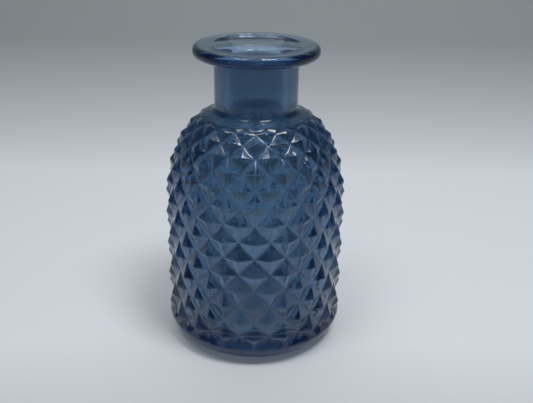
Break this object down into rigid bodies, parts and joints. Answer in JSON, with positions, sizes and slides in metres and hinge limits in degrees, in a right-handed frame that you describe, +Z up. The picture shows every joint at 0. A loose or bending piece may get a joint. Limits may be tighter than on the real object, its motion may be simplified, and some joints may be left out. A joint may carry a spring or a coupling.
{
  "type": "glass bud vase",
  "caption": "Small blue glass bud vase with a flared lip, a short straight neck and a round body covered in raised diamonds.",
  "frame": {"origin": "middle of the flat foot ring, on the surface that the vase stands on", "axes": "+Z up along the axis of the vase; -Y is the side with a column of diamonds facing the viewer; +X to the viewer's right"},
  "size_m": [0.0724, 0.0724, 0.12],
  "materials": {
    "blue_glass": "smoky steel-blue pressed glass, clear and glossy, with fire-polished edges"
  },
  "bodies": {
    "root": {"foot_ring": "blue_glass", "base_disc": "blue_glass", "heel_band": "blue_glass", "diamond_body": "blue_glass", "diamond_shoulder": "blue_glass", "shoulder_collar": "blue_glass", "neck_tube": "blue_glass", "lip_ring": "blue_glass"}
  },
  "joints": []
}
